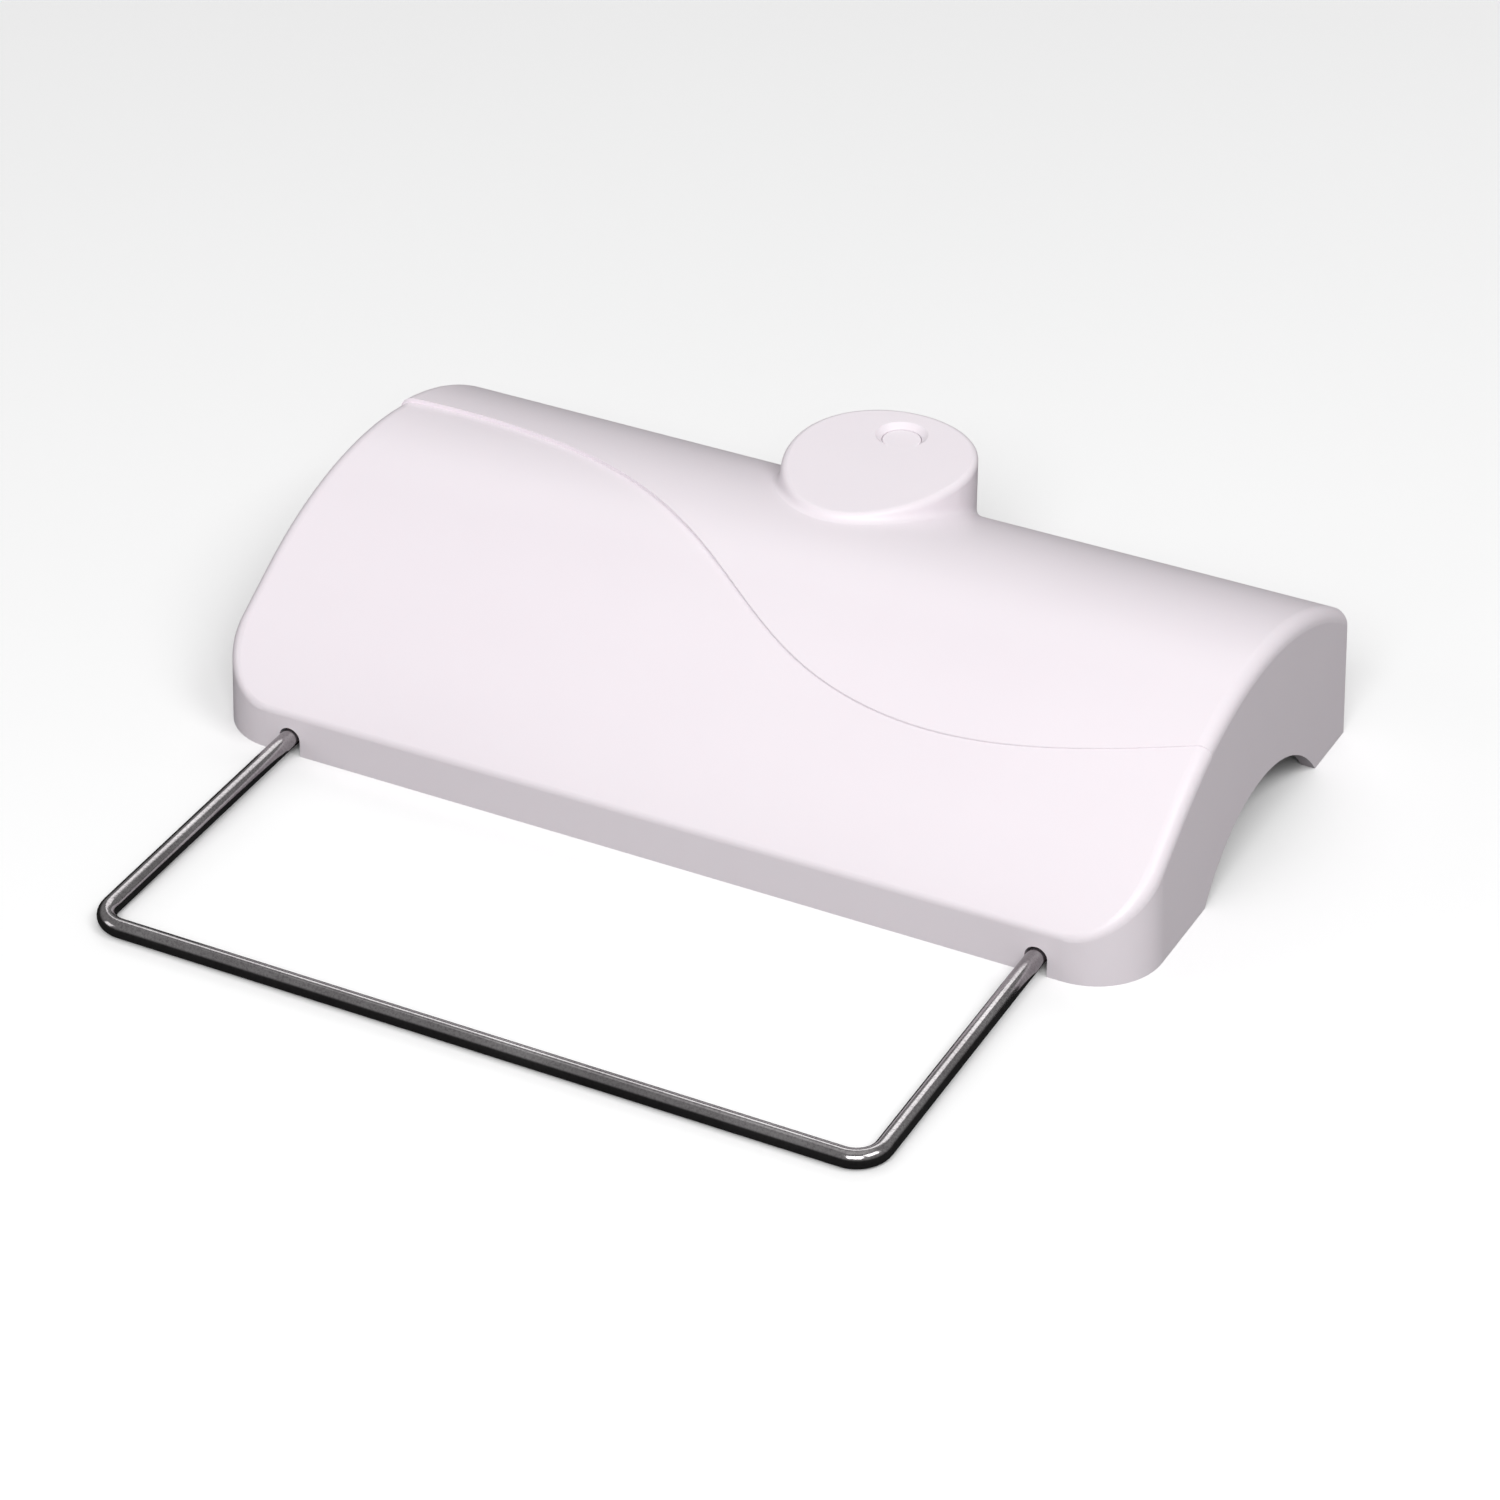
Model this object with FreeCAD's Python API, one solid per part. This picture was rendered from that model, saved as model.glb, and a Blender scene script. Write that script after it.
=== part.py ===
import FreeCAD, Part
import math
import os

# Hooded paper holder for a round rail, in millimetres.
# X runs along the hood, +Y from the front lip to the back, +Z up from the base rim.
# Everything is drawn from the face of the front lip, y = 0, and moved on export so that
# the origin lies under the middle of the whole object, on the surface that it rests on.

V = FreeCAD.Vector
X_AXIS = V(1, 0, 0)
Y_AXIS = V(0, 1, 0)
Z_AXIS = V(0, 0, 1)
ORIGIN = V(0, 0, 0)
BIG = 200.0
HEADROOM = 40.0
PAST = 1.0

# Hood: the surface rolls up from the lip into a straight slope, which runs into a round crown
HOOD_WIDTH = 138.0
HOOD_DEPTH = 71.9
WALL = 2.0
LIP_HEIGHT = 6.9
ROLL_Y = 9.6
ROLL_R = 44.0
SLOPE_LINE_Z = 9.2
SLOPE_DEG = 33.7
SLOPE_LENGTH = 18.2
CROWN_R = 51.0
END_DRAFT_DEG = 2.2
CORNER_R = 9.6
RIM_FILLET = 2.0
LIP_FILLET = 1.5

# Raised style line: the front field lies lower than the crown, most at the left end
STEP_LEFT = 0.65
STEP_RIGHT = 0.15
STEP_PATH = [(-75, 50.0), (-64, 52.3), (-50, 51.9), (-31, 47.0), (-10, 34.7), (11, 20.9),
             (30, 16.9), (52, 19.6), (75, 27.5)]
FIELD_FRONT = -20.0

# Boss at the middle of the back, over the fixing hole
BOSS_X = 0.8
BOSS_Y = 63.8
BOSS_HALF_WIDTH = 13.1
BOSS_HALF_LENGTH = 15.7
BOSS_EGG = 0.15
BOSS_TOP = 28.6
BOSS_RIM = 0.9
BOSS_ROOT = 1.0
BOSS_POINTS = 16
SCREW_Y = 72.5

# Stiffening under the hood
STIFF_RIB_XS = (-54.0, -27.0, 27.0, 54.0)
STIFF_RIB_THICKNESS = 1.4
STIFF_RIB_DEPTH = 2.5
STIFF_RIB_Y = (6.0, 67.9)
STIFF_RIB_BOTTOM = 15.5

# Rail that the hood stands on, and the arch for it in each end panel
RAIL_Y = 42.5
RAIL_Z = -14.9
RAIL_R = 24.15
ARCH_R = 24.2
PAD_THICKNESS = 2.0

# Wire bail
WIRE_R = 1.3
BAIL_X = 55.6
BAIL_REACH = 47.25
BAIL_BEND_R = 3.8
PIVOT_Y = 8.0
PIVOT_Z = 2.75
PIVOT_END_X = 63.9
NOTCH_R = 1.6
NOTCH_Z = 2.5
PIVOT_CLEARANCE = 0.05
TIP_CHAMFER = 0.3

# Bearing blocks
BLOCK_INNER_X = 47.5
BLOCK_EAR_X = 60.2
BLOCK_OUTER_X = 64.2
BLOCK_BOTTOM = 0.8
BLOCK_TOP = 6.0
EAR_FRONT_Y = 4.9
FOOT_FRONT_Y = 11.5
FOOT_BACK_Y = 17.4
BLOCK_SCREW_XS = [51.0, 61.0]
BLOCK_SCREW_Y = 14.5
BLOCK_FILLET = 0.6

# Saddle frame
PLATE_HALF_X = 58.0
PLATE_Y = (25.0, 60.0)
PLATE_Z = (12.0, 14.0)
RIB_Y = (18.2, 66.8)
RIB_BOTTOM = 2.0
BEAM_THICKNESS = 2.0
BEAM_BOTTOM = 5.0
END_RIB_X = (57.0, 63.0)
MID_RIB_X = (17.0, 19.0)
FRAME_SCREWS = [(-40.0, 30.0), (40.0, 30.0), (-40.0, 55.0), (40.0, 55.0)]

# Rubber pads on the end ribs
PAD_OVERHANG = 1.2
PAD_BOTTOM = 0.6
PAD_GAP = 0.05
PAD_GROOVE_R = 0.5
PAD_GROOVES_DEG = (-36, -24, -12, 0, 12, 24, 36)

# Fasteners
SCREW_R = 1.1
SCREW_HEAD_R = 2.1
SCREW_HEAD_HEIGHT = 1.4
SCREW_HEAD_ROUND = 0.5
SCREW_LENGTH = 10.0
SCREW_TIP_R = 0.3
CROSS_LENGTH = 2.0
CROSS_WIDTH = 0.5
CROSS_DEPTH = 0.8
SCREW_GAP = 0.1
HEAD_GAP = 0.15
PILOT_GAP = 0.03
PILOT_DEPTH = 8.0
FRAME_POST_R = 2.9
BLOCK_POST_R = 2.5
FIXING_BORE_R = 1.6
BUSH_R = 2.6
BUSH_TOP = 12.0
BUSH_BOTTOM = 0.5
BUSH_GAP = 0.02
FIXING_POST_R = 4.3
FIXING_WEB_THICKNESS = 1.8
BACK_WALL_HALF_X = 13.0
BACK_WALL_TOP = 20.0
HEAD_CHANNEL_R = 2.35
PLUG_R = 2.75
PLUG_GAP = 0.08
PLUG_TOP = 27.85
PLUG_THICKNESS = 1.2
PLUG_STEM_R = 2.2
PLUG_STEM_LENGTH = 3.0
PLUG_STEM_WALL = 0.7
PLUG_SLIT = 0.6
PLUG_RIM = 0.2
RECESS_SLOPE = 0.85

SLOPE = math.radians(SLOPE_DEG)
DRAFT = math.radians(END_DRAFT_DEG)
CROWN_Y = SLOPE_LENGTH * math.cos(SLOPE) + CROWN_R * math.sin(SLOPE)
CROWN_Z = SLOPE_LINE_Z + SLOPE_LENGTH * math.sin(SLOPE) - CROWN_R * math.cos(SLOPE)
ROLL_CENTRE_Y = ROLL_Y + ROLL_R * math.sin(SLOPE)
ROLL_CENTRE_Z = SLOPE_LINE_Z + ROLL_Y * math.tan(SLOPE) - ROLL_R * math.cos(SLOPE)
FRONT_Y = -BAIL_REACH - WIRE_R
REAR_Y = BOSS_Y + BOSS_HALF_LENGTH
SHIFT = V(0, -(FRONT_Y + REAR_Y) / 2.0, 0)


def export(name, shape):
    moved = shape.copy()
    moved.translate(SHIFT)
    moved.exportStep("parts/%s.step" % name)
    print(name, "solids", len(moved.Solids), "valid", moved.isValid(), "volume %.1f" % moved.Volume)


def cylinder(radius, start, axis, length):
    return Part.makeCylinder(radius, length, start, axis)


def block(x, y, z):
    return Part.makeBox(x[1] - x[0], y[1] - y[0], z[1] - z[0], V(x[0], y[0], z[0]))


def mirrored(shape):
    return shape.mirror(ORIGIN, X_AXIS)


def roll_point(radius, y):
    return V(-BIG / 2, y, ROLL_CENTRE_Z + math.sqrt(radius ** 2 - (y - ROLL_CENTRE_Y) ** 2))


def crown_point(radius, angle):
    return V(-BIG / 2, CROWN_Y + radius * math.sin(angle), CROWN_Z + radius * math.cos(angle))


def hood_prism(inset, bottom):
    """Long solid under the roll, the slope and the crown, inset from their outside."""
    radius = CROWN_R - inset
    front = inset - 0.01
    back = HOOD_DEPTH - inset + 0.01
    back_angle = math.asin((back - CROWN_Y) / radius)
    slope_top = crown_point(radius, -SLOPE)
    crown_mid = crown_point(radius, (back_angle - SLOPE) / 2)
    crown_end = crown_point(radius, back_angle)
    low_front = V(-BIG / 2, front, bottom)
    roll_radius = ROLL_R - inset
    roll_top = ROLL_CENTRE_Y - roll_radius * math.sin(SLOPE)
    high_front = roll_point(roll_radius, front)
    roll_mid = roll_point(roll_radius, (front + roll_top) / 2)
    roll_end = roll_point(roll_radius, roll_top)
    low_back = V(-BIG / 2, back, bottom)
    edges = [
        Part.makeLine(low_front, high_front),
        Part.Arc(high_front, roll_mid, roll_end).toShape(),
        Part.makeLine(roll_end, slope_top),
        Part.Arc(slope_top, crown_mid, crown_end).toShape(),
        Part.makeLine(crown_end, low_back),
        Part.makeLine(low_back, low_front),
    ]
    return Part.Face(Part.Wire(edges)).extrude(V(BIG, 0, 0))


def plan_wire(inset, z):
    """Plan outline at height z: drafted ends, round front corners, square back corners."""
    half = HOOD_WIDTH / 2 - inset / math.cos(DRAFT) - z * math.tan(DRAFT)
    r = CORNER_R - inset
    front = inset
    back = HOOD_DEPTH - inset
    k = r * (1 - math.sqrt(0.5))
    right_arc = Part.Arc(V(half - r, front, z), V(half - k, front + k, z), V(half, front + r, z))
    left_arc = Part.Arc(V(-half, front + r, z), V(-half + k, front + k, z), V(-half + r, front, z))
    edges = [
        Part.makeLine(V(-half + r, front, z), V(half - r, front, z)),
        right_arc.toShape(),
        Part.makeLine(V(half, front + r, z), V(half, back, z)),
        Part.makeLine(V(half, back, z), V(-half, back, z)),
        Part.makeLine(V(-half, back, z), V(-half, front + r, z)),
        left_arc.toShape(),
    ]
    return Part.Wire(edges)


def plan_prism(inset, bottom, top):
    return Part.makeLoft([plan_wire(inset, bottom), plan_wire(inset, top)], True, True)


def lip_edge(edge):
    box = edge.BoundBox
    return box.YMax < 0.5 and box.XLength > HOOD_WIDTH / 2 and box.ZMin > LIP_HEIGHT - 2


def rim_edge(edge):
    """Edges where the slope and the crown meet the end panels and the front corners."""
    box = edge.BoundBox
    on_end = box.XMin > HOOD_WIDTH / 2 - CORNER_R - 2 or box.XMax < -HOOD_WIDTH / 2 + CORNER_R + 2
    above = box.ZMin > LIP_HEIGHT - 2
    return on_end and above and box.ZLength > 0.5


def rim_radius(point):
    """The rim is rounded more along the lip than along the end panels."""
    return LIP_FILLET if point.y < 0.5 else RIM_FILLET


def rounded_rim(body):
    """Rounds the lip and the end rims together; the radius changes evenly round the front corners."""
    document = FreeCAD.newDocument()
    source = document.addObject("Part::Feature", "body")
    source.Shape = body
    rounded = []
    for number, edge in enumerate(source.Shape.Edges, 1):
        if rim_edge(edge) or lip_edge(edge):
            first = rim_radius(edge.valueAt(edge.FirstParameter))
            last = rim_radius(edge.valueAt(edge.LastParameter))
            rounded.append((number, first, last))
    fillet = document.addObject("Part::Fillet", "rim")
    fillet.Base = source
    fillet.Edges = rounded
    document.recompute()
    shape = fillet.Shape.copy()
    FreeCAD.closeDocument(document.Name)
    return shape


def hood_body(lowered):
    """Solid hood with its rim rounded. The lowered one leans down to the left by the style step."""
    prism = hood_prism(0, 0)
    if lowered:
        lean = math.degrees(math.atan((STEP_LEFT - STEP_RIGHT) / HOOD_WIDTH))
        prism.rotate(ORIGIN, Y_AXIS, -lean)
        prism.translate(V(0, 0, -(STEP_LEFT + STEP_RIGHT) / 2))
    return rounded_rim(plan_prism(0, 0, HEADROOM).common(prism).removeSplitter())


def front_field():
    """Tall prism over everything in front of the style line."""
    curve = Part.BSplineCurve()
    curve.interpolate([V(x, y, -PAST) for x, y in STEP_PATH])
    start = V(STEP_PATH[0][0], STEP_PATH[0][1], -PAST)
    end = V(STEP_PATH[-1][0], STEP_PATH[-1][1], -PAST)
    corner_right = V(end.x, FIELD_FRONT, -PAST)
    corner_left = V(start.x, FIELD_FRONT, -PAST)
    edges = [
        curve.toShape(),
        Part.makeLine(end, corner_right),
        Part.makeLine(corner_right, corner_left),
        Part.makeLine(corner_left, start),
    ]
    return Part.Face(Part.Wire(edges)).extrude(V(0, 0, HEADROOM))


def boss_prism(inset, bottom, top):
    """Egg-shaped column: wider towards the back."""
    points = []
    for i in range(BOSS_POINTS):
        angle = 2 * math.pi * i / BOSS_POINTS
        x = (BOSS_HALF_WIDTH - inset) * math.cos(angle) * (1 + BOSS_EGG * math.sin(angle))
        y = (BOSS_HALF_LENGTH - inset) * math.sin(angle)
        points.append(V(BOSS_X + x, BOSS_Y + y, bottom))
    curve = Part.BSplineCurve()
    curve.interpolate(points, PeriodicFlag=True)
    return Part.Face(Part.Wire([curve.toShape()])).extrude(V(0, 0, top - bottom))


def boss_column():
    column = boss_prism(0, 0, BOSS_TOP)
    rim = [e for e in column.Edges if e.BoundBox.ZMin > BOSS_TOP - 0.1]
    return column.makeFillet(BOSS_RIM, rim)


def boss_root(column):
    """Hollow rounding between the boss and the crown, up to the back of the hood."""
    crown = cylinder(CROWN_R, V(-BIG / 4, CROWN_Y, CROWN_Z), X_AXIS, BIG / 2)
    joined = crown.fuse(column)
    seam = [e for e in joined.Edges if seam_edge(e)]
    ring = joined.makeFillet(BOSS_ROOT, seam).cut(joined)
    return ring.common(block((-BIG, BIG), (0, HOOD_DEPTH), (0, HEADROOM)))


def seam_edge(edge):
    box = edge.BoundBox
    in_boss = box.XMin > BOSS_X - BIG / 8 and box.XMax < BOSS_X + BIG / 8
    return in_boss and box.ZMin > PAST and box.ZMax < BOSS_TOP - BOSS_RIM and box.ZLength > PAST


def post(x, y, bottom, radius):
    """Screw post that grows down from the inside of the hood."""
    tall = cylinder(radius, V(x, y, bottom), Z_AXIS, BOSS_TOP)
    return tall.common(hood_prism(WALL / 2, -PAST))


def pilot(x, y, bottom):
    return cylinder(SCREW_R + PILOT_GAP, V(x, y, bottom - PAST), Z_AXIS, PILOT_DEPTH + PAST)


def crown_ribs():
    """Four shallow stiffening ribs under the slope and the crown."""
    under = hood_prism(WALL / 2, 0).cut(hood_prism(WALL + STIFF_RIB_DEPTH, -PAST))
    half = STIFF_RIB_THICKNESS / 2
    ribs = []
    for x in STIFF_RIB_XS:
        slab = block((x - half, x + half), STIFF_RIB_Y, (STIFF_RIB_BOTTOM, HEADROOM))
        ribs.append(under.common(slab))
    return ribs


def fixing_post():
    """Post for the fixing screw, with a web to the boss and a wall in line with the hood's back."""
    inside = WALL / 2
    column = cylinder(FIXING_POST_R, V(BOSS_X, SCREW_Y, 0), Z_AXIS, BOSS_TOP - inside)
    half = FIXING_WEB_THICKNESS / 2
    web = block((BOSS_X - half, BOSS_X + half), (SCREW_Y, REAR_Y - inside), (0, BOSS_TOP - inside))
    across = (BOSS_X - BACK_WALL_HALF_X, BOSS_X + BACK_WALL_HALF_X)
    side = block(across, (HOOD_DEPTH - WALL, HOOD_DEPTH), (0, BACK_WALL_TOP))
    return column.fuse(web).fuse(side.common(boss_prism(inside, 0, BACK_WALL_TOP)))


def notch(side):
    x = side * BAIL_X
    slot = block((x - NOTCH_R, x + NOTCH_R), (-PAST, WALL + PAST), (-PAST, NOTCH_Z))
    return slot.fuse(cylinder(NOTCH_R, V(x, -PAST, NOTCH_Z), Y_AXIS, WALL + 2 * PAST))


def recess():
    """Dished recess for the plug, and the channel under it for the head of the fixing screw."""
    seat_z = PLUG_TOP - PLUG_THICKNESS
    depth = BOSS_TOP - PLUG_TOP
    mouth = PLUG_R + PLUG_GAP + depth / RECESS_SLOPE
    centre = V(BOSS_X, SCREW_Y, PLUG_TOP)
    dish = Part.makeCone(PLUG_R + PLUG_GAP, mouth, depth, centre, Z_AXIS)
    seat = cylinder(PLUG_R + PLUG_GAP, V(BOSS_X, SCREW_Y, seat_z), Z_AXIS, PLUG_THICKNESS)
    channel = cylinder(HEAD_CHANNEL_R, V(BOSS_X, SCREW_Y, BUSH_TOP), Z_AXIS, seat_z - BUSH_TOP)
    bush_hole = cylinder(BUSH_R, V(BOSS_X, SCREW_Y, -PAST), Z_AXIS, BUSH_TOP + PAST)
    return [dish, seat, channel, bush_hole]


def cover_shell():
    high = hood_body(False)
    low = hood_body(True)
    field = front_field()
    outer = high.cut(field).fuse(low.common(field))
    column = boss_column()
    outer = outer.fuse(column).fuse(boss_root(column))
    cavity = plan_prism(WALL, -PAST, HEADROOM).common(hood_prism(WALL, -PAST))
    boss_cavity = boss_prism(WALL, -PAST, BOSS_TOP - WALL)
    shell = outer.cut(cavity).cut(boss_cavity)
    shell = shell.fuse(fixing_post())
    for x, y in FRAME_SCREWS:
        shell = shell.fuse(post(x, y, PLATE_Z[1], FRAME_POST_R))
    for x in BLOCK_SCREW_XS:
        for side in (-1, 1):
            shell = shell.fuse(post(side * x, BLOCK_SCREW_Y, BLOCK_TOP, BLOCK_POST_R))
    for rib in crown_ribs():
        shell = shell.fuse(rib)
    for x, y in FRAME_SCREWS:
        shell = shell.cut(pilot(x, y, PLATE_Z[1]))
    for x in BLOCK_SCREW_XS:
        for side in (-1, 1):
            shell = shell.cut(pilot(side * x, BLOCK_SCREW_Y, BLOCK_TOP))
            shell = shell.cut(notch(side))
    shell = shell.cut(cylinder(ARCH_R, V(-BIG / 2, RAIL_Y, RAIL_Z), X_AXIS, BIG))
    for hole in recess():
        shell = shell.cut(hole)
    return shell.removeSplitter()


def bail_path():
    """Centre line of half of the bail, from its pivot end to the middle of the bar."""
    r = BAIL_BEND_R
    k = r * (1 - math.sqrt(0.5))
    length = math.hypot(PIVOT_Y + BAIL_REACH, PIVOT_Z - WIRE_R)
    pivot_end = V(PIVOT_END_X, 0, 0)
    pivot_bend = V(BAIL_X + r, 0, 0)
    arm_top = V(BAIL_X, -r, 0)
    arm_low = V(BAIL_X, -length + r, 0)
    bar_side = V(BAIL_X - r, -length, 0)
    bar_mid = V(0, -length, 0)
    edges = [
        Part.makeLine(pivot_end, pivot_bend),
        Part.Arc(pivot_bend, V(BAIL_X + k, -k, 0), arm_top).toShape(),
        Part.makeLine(arm_top, arm_low),
        Part.Arc(arm_low, V(BAIL_X - k, -length + k, 0), bar_side).toShape(),
        Part.makeLine(bar_side, bar_mid),
    ]
    return Part.Wire(edges)


def wire_bail():
    section = Part.Wire([Part.makeCircle(WIRE_R, V(PIVOT_END_X, 0, 0), X_AXIS)])
    half = bail_path().makePipeShell([section], True, False)
    bail = half.fuse(mirrored(half)).removeSplitter()
    tips = [e for e in bail.Edges if abs(e.BoundBox.Center.x) > PIVOT_END_X - TIP_CHAMFER]
    bail = bail.makeChamfer(TIP_CHAMFER, tips)
    drop = math.degrees(math.atan2(PIVOT_Z - WIRE_R, PIVOT_Y + BAIL_REACH))
    bail.rotate(ORIGIN, X_AXIS, drop)
    bail.translate(V(0, PIVOT_Y, PIVOT_Z))
    return bail


def bearing_block():
    """Right-hand block: a foot with two screws, and an ear that holds the pivot end of the bail."""
    foot = block((BLOCK_INNER_X, BLOCK_OUTER_X), (FOOT_FRONT_Y, FOOT_BACK_Y), (BLOCK_BOTTOM, BLOCK_TOP))
    ear = block((BLOCK_EAR_X, BLOCK_OUTER_X), (EAR_FRONT_Y, FOOT_BACK_Y), (BLOCK_BOTTOM, BLOCK_TOP))
    body = foot.fuse(ear).removeSplitter()
    upright = [e for e in body.Edges if e.BoundBox.ZLength > BLOCK_TOP - BLOCK_BOTTOM - 0.1]
    body = body.makeFillet(BLOCK_FILLET, upright)
    bore_r = WIRE_R + PIVOT_CLEARANCE
    bore_start = V(BLOCK_EAR_X - PAST, PIVOT_Y, PIVOT_Z)
    body = body.cut(cylinder(bore_r, bore_start, X_AXIS, BLOCK_OUTER_X - BLOCK_EAR_X + 2 * PAST))
    for x in BLOCK_SCREW_XS:
        start = V(x, BLOCK_SCREW_Y, BLOCK_BOTTOM - PAST)
        body = body.cut(cylinder(SCREW_HEAD_R + HEAD_GAP, start, Z_AXIS, SCREW_HEAD_HEIGHT + PAST))
        body = body.cut(cylinder(SCREW_R + SCREW_GAP, start, Z_AXIS, HEADROOM))
    return body


def screw(x, y, head_bottom):
    """Pan-head self-tapping screw driven upwards, with a cross recess."""
    head = cylinder(SCREW_HEAD_R, V(x, y, head_bottom), Z_AXIS, SCREW_HEAD_HEIGHT)
    rim = [e for e in head.Edges if e.BoundBox.ZMax < head_bottom + 0.01]
    head = head.makeFillet(SCREW_HEAD_ROUND, rim)
    shank_bottom = head_bottom + SCREW_HEAD_HEIGHT
    shank_length = SCREW_LENGTH - SCREW_R
    shank = cylinder(SCREW_R, V(x, y, shank_bottom), Z_AXIS, shank_length)
    tip = Part.makeCone(SCREW_R, SCREW_TIP_R, SCREW_R, V(x, y, shank_bottom + shank_length), Z_AXIS)
    body = head.fuse(shank).fuse(tip).removeSplitter()
    long = CROSS_LENGTH / 2
    short = CROSS_WIDTH / 2
    for half_x, half_y in ((long, short), (short, long)):
        depth = (head_bottom - PAST, head_bottom + CROSS_DEPTH)
        body = body.cut(block((x - half_x, x + half_x), (y - half_y, y + half_y), depth))
    return body


def block_screws():
    screws = []
    for side in (-1, 1):
        for x in BLOCK_SCREW_XS:
            screws.append(screw(side * x, BLOCK_SCREW_Y, BLOCK_BOTTOM))
    return Part.makeCompound(screws)


def frame_screws():
    return Part.makeCompound([screw(x, y, PLATE_Z[0] - SCREW_HEAD_HEIGHT) for x, y in FRAME_SCREWS])


def saddle_frame():
    """Inner frame: a plate and two beams with four cross ribs that are arched over the rail."""
    along = (-PLATE_HALF_X, PLATE_HALF_X)
    frame = block(along, PLATE_Y, PLATE_Z)
    for low, high in (END_RIB_X, MID_RIB_X):
        rib = block((low, high), RIB_Y, (RIB_BOTTOM, PLATE_Z[1]))
        frame = frame.fuse(rib).fuse(mirrored(rib))
    for y in (RIB_Y[0], RIB_Y[1] - BEAM_THICKNESS):
        frame = frame.fuse(block(along, (y, y + BEAM_THICKNESS), (BEAM_BOTTOM, PLATE_Z[1])))
    pad_seat = RAIL_R + PAD_THICKNESS
    frame = frame.cut(cylinder(pad_seat, V(-BIG / 2, RAIL_Y, RAIL_Z), X_AXIS, BIG))
    for x, y in FRAME_SCREWS:
        frame = frame.cut(cylinder(SCREW_R + SCREW_GAP, V(x, y, 0), Z_AXIS, HEADROOM))
    return frame.removeSplitter()


def saddle_pad():
    """Rubber lining of the right-hand end rib, with grooves along the rail."""
    start = V(END_RIB_X[0] - PAD_OVERHANG, RAIL_Y, RAIL_Z)
    length = END_RIB_X[1] - END_RIB_X[0] + 2 * PAD_OVERHANG
    arc = cylinder(RAIL_R + PAD_THICKNESS - PAD_GAP, start, X_AXIS, length)
    arc = arc.cut(cylinder(RAIL_R, start, X_AXIS, length))
    arc = arc.common(block((0, BIG), (0, BIG), (PAD_BOTTOM, BIG)))
    for angle_deg in PAD_GROOVES_DEG:
        angle = math.radians(angle_deg)
        y = RAIL_Y + RAIL_R * math.sin(angle)
        z = RAIL_Z + RAIL_R * math.cos(angle)
        arc = arc.cut(cylinder(PAD_GROOVE_R, V(start.x, y, z), X_AXIS, length))
    return arc


def fixing_bush():
    """Steel sleeve that takes the fixing screw's load."""
    height = BUSH_TOP - BUSH_BOTTOM
    sleeve = cylinder(BUSH_R - BUSH_GAP, V(BOSS_X, SCREW_Y, BUSH_BOTTOM), Z_AXIS, height)
    bore_start = V(BOSS_X, SCREW_Y, BUSH_BOTTOM - PAST)
    return sleeve.cut(cylinder(FIXING_BORE_R, bore_start, Z_AXIS, height + 2 * PAST))


def screw_plug():
    """Disc with a hollow, slit stem that closes the hole over the fixing screw."""
    disc_bottom = PLUG_TOP - PLUG_THICKNESS + PLUG_GAP / 4
    disc = cylinder(PLUG_R, V(BOSS_X, SCREW_Y, disc_bottom), Z_AXIS, PLUG_TOP - disc_bottom)
    rim = [e for e in disc.Edges if e.BoundBox.ZMin > PLUG_TOP - 0.01]
    disc = disc.makeFillet(PLUG_RIM, rim)
    stem_start = V(BOSS_X, SCREW_Y, disc_bottom - PLUG_STEM_LENGTH)
    stem = cylinder(PLUG_STEM_R, stem_start, Z_AXIS, PLUG_STEM_LENGTH)
    hollow = cylinder(PLUG_STEM_R - PLUG_STEM_WALL, stem_start, Z_AXIS, PLUG_STEM_LENGTH)
    slit_x = (BOSS_X - PLUG_R, BOSS_X + PLUG_R)
    slit_y = (SCREW_Y - PLUG_SLIT / 2, SCREW_Y + PLUG_SLIT / 2)
    slit = block(slit_x, slit_y, (stem_start.z, disc_bottom))
    return disc.fuse(stem.cut(hollow).cut(slit)).removeSplitter()


os.makedirs("parts", exist_ok=True)
export("cover_shell", cover_shell())
export("wire_bail", wire_bail())
export("bearing_block_right", bearing_block())
export("bearing_block_left", mirrored(bearing_block()))
export("block_screws", block_screws())
export("saddle_frame", saddle_frame())
export("frame_screws", frame_screws())
export("saddle_pad_right", saddle_pad())
export("saddle_pad_left", mirrored(saddle_pad()))
export("fixing_bush", fixing_bush())
export("screw_plug", screw_plug())
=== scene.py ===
import math

import bpy
from mathutils import Matrix, Vector

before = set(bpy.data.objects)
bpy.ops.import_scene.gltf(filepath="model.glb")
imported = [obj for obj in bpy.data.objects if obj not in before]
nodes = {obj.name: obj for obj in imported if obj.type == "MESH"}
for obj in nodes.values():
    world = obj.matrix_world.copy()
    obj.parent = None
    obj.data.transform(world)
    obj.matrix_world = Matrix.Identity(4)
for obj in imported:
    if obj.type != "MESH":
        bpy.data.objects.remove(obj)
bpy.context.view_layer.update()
scene = bpy.context.scene

# Viewpoint of the picture. The azimuth turns from the front towards the hood's right end.
VIEW_AZIMUTH = math.radians(27.28)
VIEW_ELEVATION = math.radians(32.56)
VIEW_ROLL = math.radians(0.287)
CAMERA_PLACE = Vector((0.26188, -0.49489, 0.36599))
CAMERA_CLIP_START = 0.01
LENS_MM = 119.94
SENSOR_MM = 36.0

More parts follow.
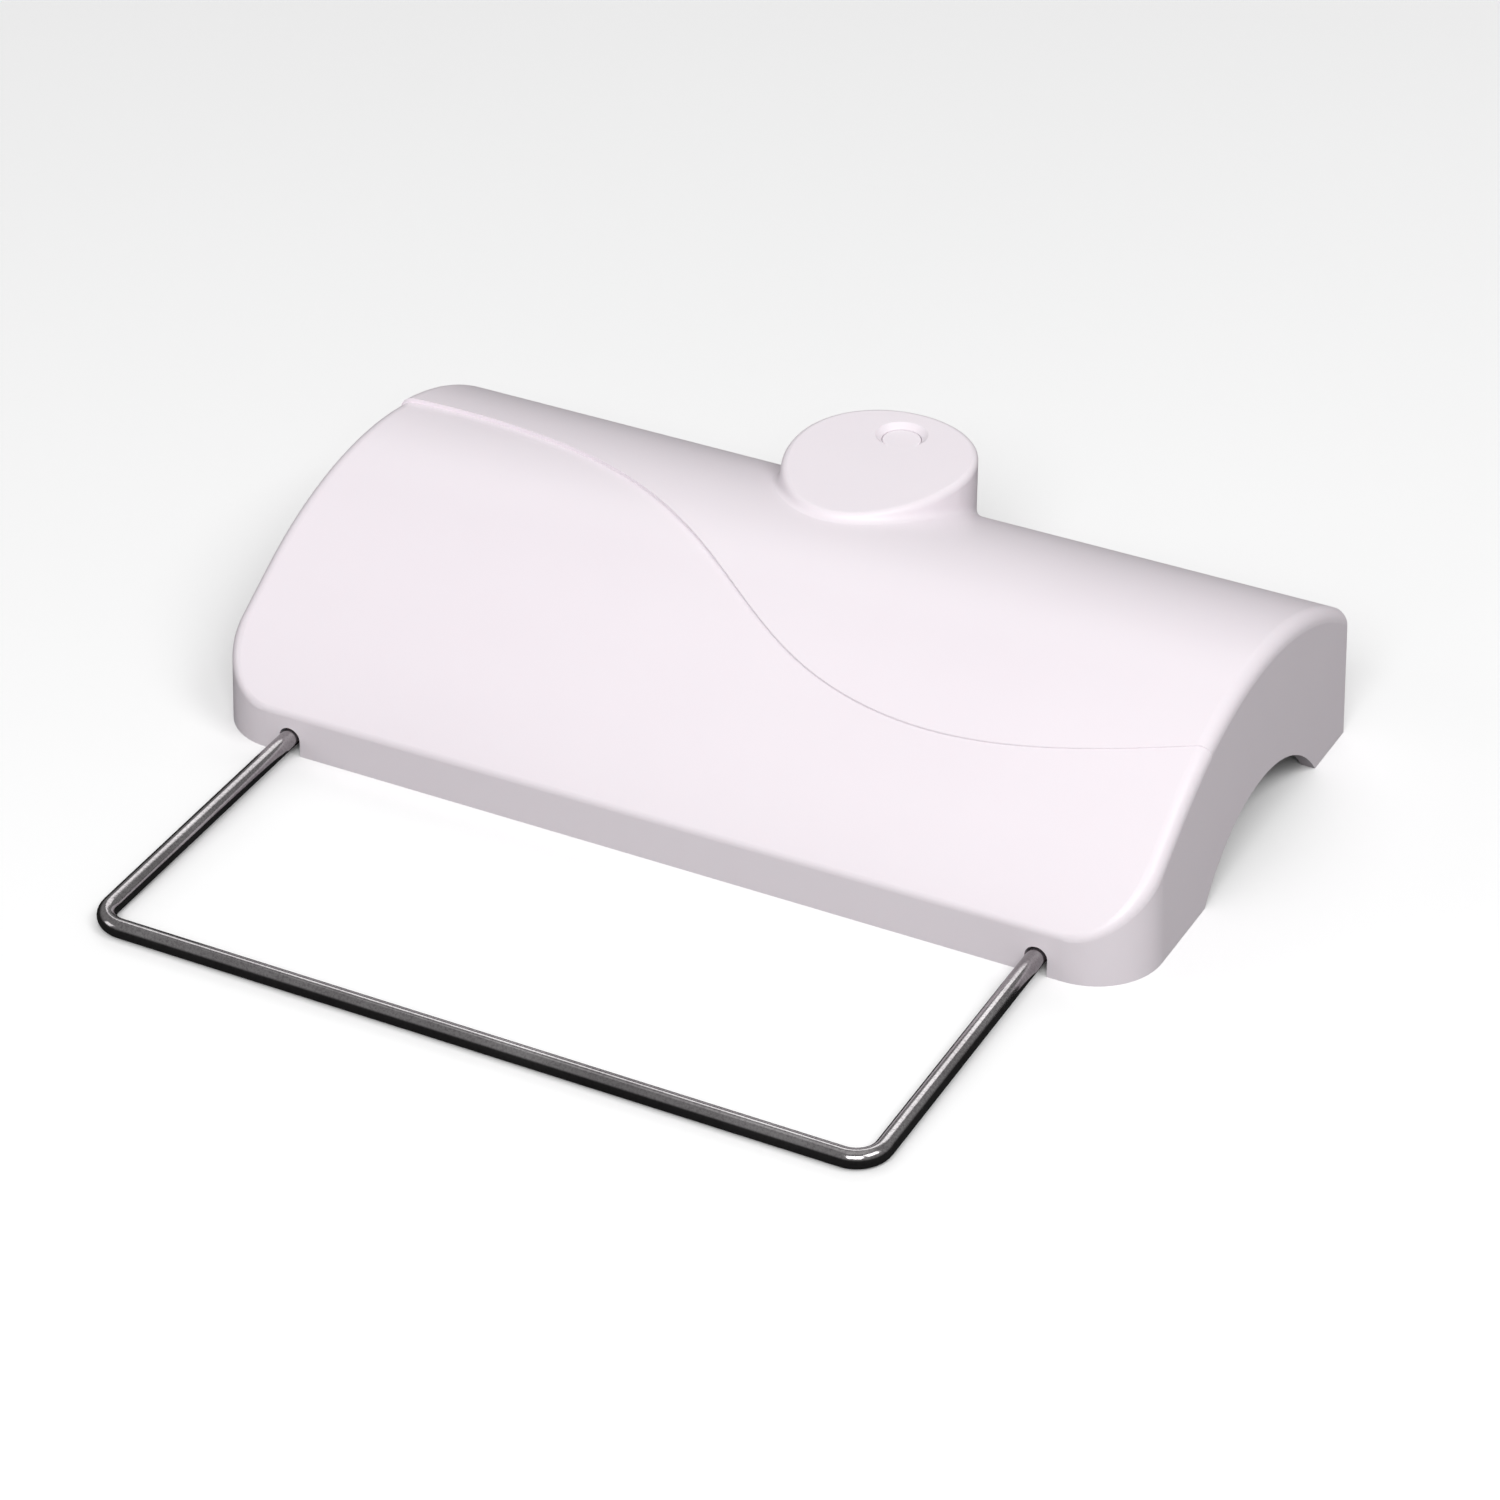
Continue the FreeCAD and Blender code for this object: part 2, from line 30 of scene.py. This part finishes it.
# Stage, in metres and watts
CENTRE = (0, 0, 0)
FLOOR_SIZE = 8.0
FLOOR_SEEN = ((0.96, 0.96, 0.96), (0.98, 0.98, 0.98))
FLOOR_BOUNCE = (0.23, 0.23, 0.23, 1)
FLOOR_MIRRORED = (0.03, 0.03, 0.03, 1)
ROOM_COLOUR = (1, 1, 1, 1)
ROOM_STRENGTH = 0.30
ROOM_MIRRORED_LOW = 0.03
ROOM_MIRRORED_HIGH = 0.38
MIRRORED_RISE_FROM = 0.08
MIRRORED_RISE_TO = 0.40

# Name, place, aim, width and depth, power
LIGHTS = (
    ("key", (0.34, -0.82, 0.80), CENTRE, (0.7, 0.5), 8.6),
    ("overhead", (-0.1, 0.1, 1.3), CENTRE, (0.9, 0.9), 0.9),
    ("right_high", (0.75, -0.15, 1.0), CENTRE, (0.6, 0.5), 4.2),
    ("back_fill", (-0.5, 1.3, 1.3), (-0.3, 0.8, 0), (1.2, 0.6), 4.2),
    ("left_fill", (-1.1, -0.7, 0.6), CENTRE, (0.5, 0.5), 1.5),
)

# Base colours: the darker and the lighter tone of each material
HOOD_TONES = ((0.840, 0.776, 0.824), (0.862, 0.800, 0.846))
PLUG_TONES = ((0.815, 0.755, 0.80), (0.850, 0.790, 0.835))
CHROME_TONES = ((0.31, 0.295, 0.30), (0.45, 0.435, 0.44))
CHROME_SPECK = (0.74, 0.72, 0.74)
CHROME_CLEAR = (1.0, 1.0, 1.0)
ZINC_TONES = ((0.46, 0.46, 0.48), (0.62, 0.62, 0.64))
BUSH_TONES = ((0.42, 0.41, 0.41), (0.56, 0.55, 0.54))
NYLON_TONES = ((0.016, 0.016, 0.018), (0.034, 0.034, 0.037))
ACETAL_TONES = ((0.66, 0.64, 0.59), (0.75, 0.73, 0.68))
RUBBER_TONES = ((0.008, 0.008, 0.008), (0.026, 0.025, 0.024))

# Roughness of the two moulded plastics, and how far the rub marks take it down and up
HOOD_ROUGHNESS = 0.38
PLUG_ROUGHNESS = 0.42
RUB_SMOOTHER = 0.04
RUB_ROUGHER = 0.07


def make_camera():
    back = Vector((
        math.sin(VIEW_AZIMUTH) * math.cos(VIEW_ELEVATION),
        -math.cos(VIEW_AZIMUTH) * math.cos(VIEW_ELEVATION),
        math.sin(VIEW_ELEVATION),
    ))
    level_right = Vector((math.cos(VIEW_AZIMUTH), math.sin(VIEW_AZIMUTH), 0))
    level_up = back.cross(level_right)
    right = math.cos(VIEW_ROLL) * level_right + math.sin(VIEW_ROLL) * level_up
    up = math.cos(VIEW_ROLL) * level_up - math.sin(VIEW_ROLL) * level_right
    turn = Matrix((right, up, back)).transposed().to_4x4()
    data = bpy.data.cameras.new("view")
    data.lens = LENS_MM
    data.sensor_width = SENSOR_MM
    data.clip_start = CAMERA_CLIP_START
    camera = bpy.data.objects.new("view", data)
    camera.matrix_world = Matrix.Translation(CAMERA_PLACE) @ turn
    scene.collection.objects.link(camera)
    scene.camera = camera


# ---------------------------------------------------------------- node helpers

# Blender's Mix node has sockets of one name for each data type, so they are taken by number
MIX_FACTOR = 0
MIX_NUMBERS = (2, 3)
MIX_COLOURS = (6, 7)
MIXED_NUMBER = 0
MIXED_COLOUR = 2


class Nodes:
    """Adds nodes to a tree and links them."""

    def __init__(self, tree):
        self.tree = tree

    def add(self, kind, settings=None, **inputs):
        node = self.tree.nodes.new(kind)
        for key, value in (settings or {}).items():
            setattr(node, key, value)
        for key, value in inputs.items():
            self.put(node, key.replace("_", " "), value)
        return node

    def put(self, node, socket, value):
        if isinstance(value, bpy.types.NodeSocket):
            self.tree.links.new(value, node.inputs[socket])
        else:
            node.inputs[socket].default_value = value


class Surface(Nodes):
    """A new material and the node chains that its shader uses."""

    def __init__(self, name):
        self.material = bpy.data.materials.new(name)
        self.material.use_nodes = True
        super().__init__(self.material.node_tree)
        self.shader = self.tree.nodes["Principled BSDF"]

    def set(self, sockets):
        for socket, value in sockets.items():
            self.put(self.shader, socket, value)

    def place(self):
        return self.add("ShaderNodeTexCoord").outputs["Object"]

    def noise(self, place, scale, detail=3.0, roughness=0.55):
        node = self.add(
            "ShaderNodeTexNoise", Vector=place, Scale=scale, Detail=detail, Roughness=roughness)
        return node.outputs["Fac"]

    def stretched(self, place, factors):
        node = self.add("ShaderNodeMapping", Vector=place, Scale=factors)
        return node.outputs["Vector"]

    def ramp(self, factor, tones, low_at=0.3, high_at=0.7):
        node = self.add("ShaderNodeValToRGB", Fac=factor)
        stops = node.color_ramp.elements
        for stop, tone, at in zip(stops, tones, (low_at, high_at)):
            stop.position = at
            stop.color = (*tone, 1)
        return node.outputs["Color"]

    def product(self, first, second):
        node = self.add("ShaderNodeMix", {"data_type": "RGBA", "blend_type": "MULTIPLY"})
        self.put(node, MIX_FACTOR, 1.0)
        self.put(node, MIX_COLOURS[0], first)
        self.put(node, MIX_COLOURS[1], second)
        return node.outputs[MIXED_COLOUR]

    def range(self, factor, low, high):
        node = self.add("ShaderNodeMapRange", Value=factor, To_Min=low, To_Max=high)
        return node.outputs["Result"]

    def mixed(self, factor, first, second):
        node = self.add("ShaderNodeMixShader", Fac=factor)
        self.put(node, 1, first)
        self.put(node, 2, second)
        return node.outputs["Shader"]

    def bump(self, height, distance, strength, normal=None):
        node = self.add("ShaderNodeBump", Height=height, Distance=distance, Strength=strength)
        if normal is not None:
            self.put(node, "Normal", normal)
        return node.outputs["Normal"]


# ---------------------------------------------------------------- materials

def moulded_plastic(name, tones, roughness):
    """Satin injection-moulded plastic: faint clouding, fine grain and rub marks."""
    m = Surface(name)
    place = m.place()
    cloud = m.noise(place, scale=18.0, detail=4.0)
    rubs = m.noise(m.stretched(place, (40.0, 900.0, 40.0)), scale=3.0, detail=5.0)
    grain = m.noise(place, scale=4200.0, detail=2.0)
    wave = m.noise(place, scale=160.0, detail=2.0)
    waved = m.bump(wave, distance=40e-6, strength=0.35)
    m.set({
        "Base Color": m.ramp(cloud, tones),
        "Roughness": m.range(rubs, low=roughness - RUB_SMOOTHER, high=roughness + RUB_ROUGHER),
        "Normal": m.bump(grain, distance=10e-6, strength=0.5, normal=waved),
        "Specular IOR Level": 0.5,
        "Coat Weight": 0.06,
        "Coat Roughness": 0.12,
        "Subsurface Weight": 0.06,
        "Subsurface Radius": (1.0, 0.8, 0.8),
        "Subsurface Scale": 0.0012,
    })
    return m.material


def chrome_wire():
    """Chrome-plated wire: drawing lines along the front bar, uneven polish and faint specks.

    Its base colour is darker than real chrome, to look as it does among dark surroundings.
    """
    m = Surface("chrome_wire")
    place = m.place()
    tone = m.noise(place, scale=60.0)
    specks = m.noise(place, scale=2600.0, detail=4.0, roughness=0.7)
    smudge = m.noise(place, scale=140.0, detail=5.0)
    lines = m.noise(m.stretched(place, (60.0, 4000.0, 4000.0)), scale=1.0, detail=2.0)
    marks = m.ramp(specks, (CHROME_SPECK, CHROME_CLEAR), low_at=0.34, high_at=0.56)
    drawn = m.bump(lines, distance=6e-6, strength=0.3)
    m.set({
        "Base Color": m.product(m.ramp(tone, CHROME_TONES), marks),
        "Metallic": 1.0,
        "Roughness": m.range(smudge, low=0.08, high=0.20),
        "Normal": m.bump(specks, distance=10e-6, strength=0.25, normal=drawn),
    })
    return m.material


def turned_steel(name, tones):
    """Steel with fine turned rings about the upright axis."""
    m = Surface(name)
    place = m.place()
    stain = m.noise(place, scale=260.0, detail=4.0)
    rings = m.noise(m.stretched(place, (300.0, 300.0, 5200.0)), scale=1.0)
    m.set({
        "Base Color": m.ramp(stain, tones),
        "Metallic": 1.0,
        "Roughness": m.range(rings, low=0.22, high=0.42),
        "Normal": m.bump(rings, distance=10e-6, strength=0.5),
    })
    return m.material


def textured_nylon():
    """Black glass-filled nylon with a fine moulded texture and paler rubbed spots."""
    m = Surface("textured_nylon")
    place = m.place()
    spots = m.noise(place, scale=90.0, detail=6.0)
    grain = m.noise(place, scale=2600.0)
    m.set({
        "Base Color": m.ramp(spots, NYLON_TONES),
        "Roughness": m.range(grain, low=0.45, high=0.68),
        "Normal": m.bump(grain, distance=30e-6, strength=0.6),
    })
    return m.material


def natural_acetal():
    """Undyed acetal, slightly waxy."""
    m = Surface("natural_acetal")
    place = m.place()
    cloud = m.noise(place, scale=120.0, detail=4.0)
    sheen = m.noise(place, scale=900.0)
    grain = m.noise(place, scale=1800.0, detail=2.0)
    m.set({
        "Base Color": m.ramp(cloud, ACETAL_TONES),
        "Roughness": m.range(sheen, low=0.32, high=0.5),
        "Normal": m.bump(grain, distance=10e-6, strength=0.6),
        "Subsurface Weight": 0.15,
        "Subsurface Radius": (1.0, 0.9, 0.7),
        "Subsurface Scale": 0.001,
    })
    return m.material


def soft_rubber():
    """Matt black rubber with dust in its pores."""
    m = Surface("soft_rubber")
    pores = m.noise(m.place(), scale=1500.0, detail=5.0)
    m.set({
        "Base Color": m.ramp(pores, RUBBER_TONES, low_at=0.35, high_at=0.8),
        "Roughness": m.range(pores, low=0.62, high=0.85),
        "Normal": m.bump(pores, distance=50e-6, strength=0.7),
        "Sheen Weight": 0.15,
    })
    return m.material


def dress(node, material):
    mesh = nodes[node].data
    if not mesh.materials:
        mesh.materials.append(material)
    for slot in range(len(mesh.materials)):
        mesh.materials[slot] = material


def dress_nodes():
    acetal = natural_acetal()
    rubber = soft_rubber()
    zinc = turned_steel("zinc_steel", ZINC_TONES)
    materials = {
        "cover_shell": moulded_plastic("hood_plastic", HOOD_TONES, HOOD_ROUGHNESS),
        "screw_plug": moulded_plastic("plug_plastic", PLUG_TONES, PLUG_ROUGHNESS),
        "wire_bail": chrome_wire(),
        "bearing_block_right": acetal,
        "bearing_block_left": acetal,
        "block_screws": zinc,
        "frame_screws": zinc,
        "saddle_frame": textured_nylon(),
        "saddle_pad_right": rubber,
        "saddle_pad_left": rubber,
        "fixing_bush": turned_steel("bush_steel", BUSH_TONES),
    }
    for node, material in materials.items():
        dress(node, material)


# ---------------------------------------------------------------- stage and light

def floor_plane():
    half = FLOOR_SIZE / 2
    mesh = bpy.data.meshes.new("floor")
    corners = [(-half, -half, 0), (half, -half, 0), (half, half, 0), (-half, half, 0)]
    mesh.from_pydata(corners, [], [(0, 1, 2, 3)])
    piece = bpy.data.objects.new("floor", mesh)
    scene.collection.objects.link(piece)
    return piece


def make_floor():
    """Plain pale floor, whose bounced light is greyer and whose reflection is nearly black."""
    m = Surface("floor_paper")
    cloud = m.noise(m.place(), scale=3.0, detail=2.0)
    m.set({
        "Base Color": m.ramp(cloud, FLOOR_SEEN),
        "Roughness": 0.9,
        "Specular IOR Level": 0.0,
    })
    bounce = m.add("ShaderNodeBsdfDiffuse", Color=FLOOR_BOUNCE)
    mirrored = m.add("ShaderNodeBsdfDiffuse", Color=FLOOR_MIRRORED)
    ray = m.add("ShaderNodeLightPath")
    unseen = m.mixed(ray.outputs["Is Glossy Ray"], bounce.outputs["BSDF"], mirrored.outputs["BSDF"])
    whole = m.mixed(ray.outputs["Is Camera Ray"], unseen, m.shader.outputs["BSDF"])
    m.put(m.tree.nodes["Material Output"], "Surface", whole)
    floor_plane().data.materials.append(m.material)


def make_room():
    """Even white room, which reflections see dark low down and brighter above."""
    world = bpy.data.worlds.new("studio")
    world.use_nodes = True
    room = Nodes(world.node_tree)
    direction = room.add("ShaderNodeTexCoord").outputs["Generated"]
    height = room.add("ShaderNodeSeparateXYZ", Vector=direction).outputs["Z"]
    mirrored = room.add(
        "ShaderNodeMapRange", Value=height,
        From_Min=MIRRORED_RISE_FROM, From_Max=MIRRORED_RISE_TO,
        To_Min=ROOM_MIRRORED_LOW, To_Max=ROOM_MIRRORED_HIGH)
    ray = room.add("ShaderNodeLightPath")
    strength = room.add("ShaderNodeMix")
    room.put(strength, MIX_FACTOR, ray.outputs["Is Glossy Ray"])
    room.put(strength, MIX_NUMBERS[0], ROOM_STRENGTH)
    room.put(strength, MIX_NUMBERS[1], mirrored.outputs["Result"])
    back = room.tree.nodes["Background"]
    room.put(back, "Color", ROOM_COLOUR)
    room.put(back, "Strength", strength.outputs[MIXED_NUMBER])
    scene.world = world


def make_lights():
    for name, place, aim, (width, depth), power in LIGHTS:
        data = bpy.data.lights.new(name, "AREA")
        data.shape = "RECTANGLE"
        data.size = width
        data.size_y = depth
        data.energy = power
        lamp = bpy.data.objects.new(name, data)
        scene.collection.objects.link(lamp)
        lamp.location = place
        lamp.rotation_euler = (Vector(aim) - Vector(place)).to_track_quat("-Z", "Y").to_euler()


make_camera()
dress_nodes()
make_floor()
make_room()
make_lights()
scene.view_settings.view_transform = "Standard"
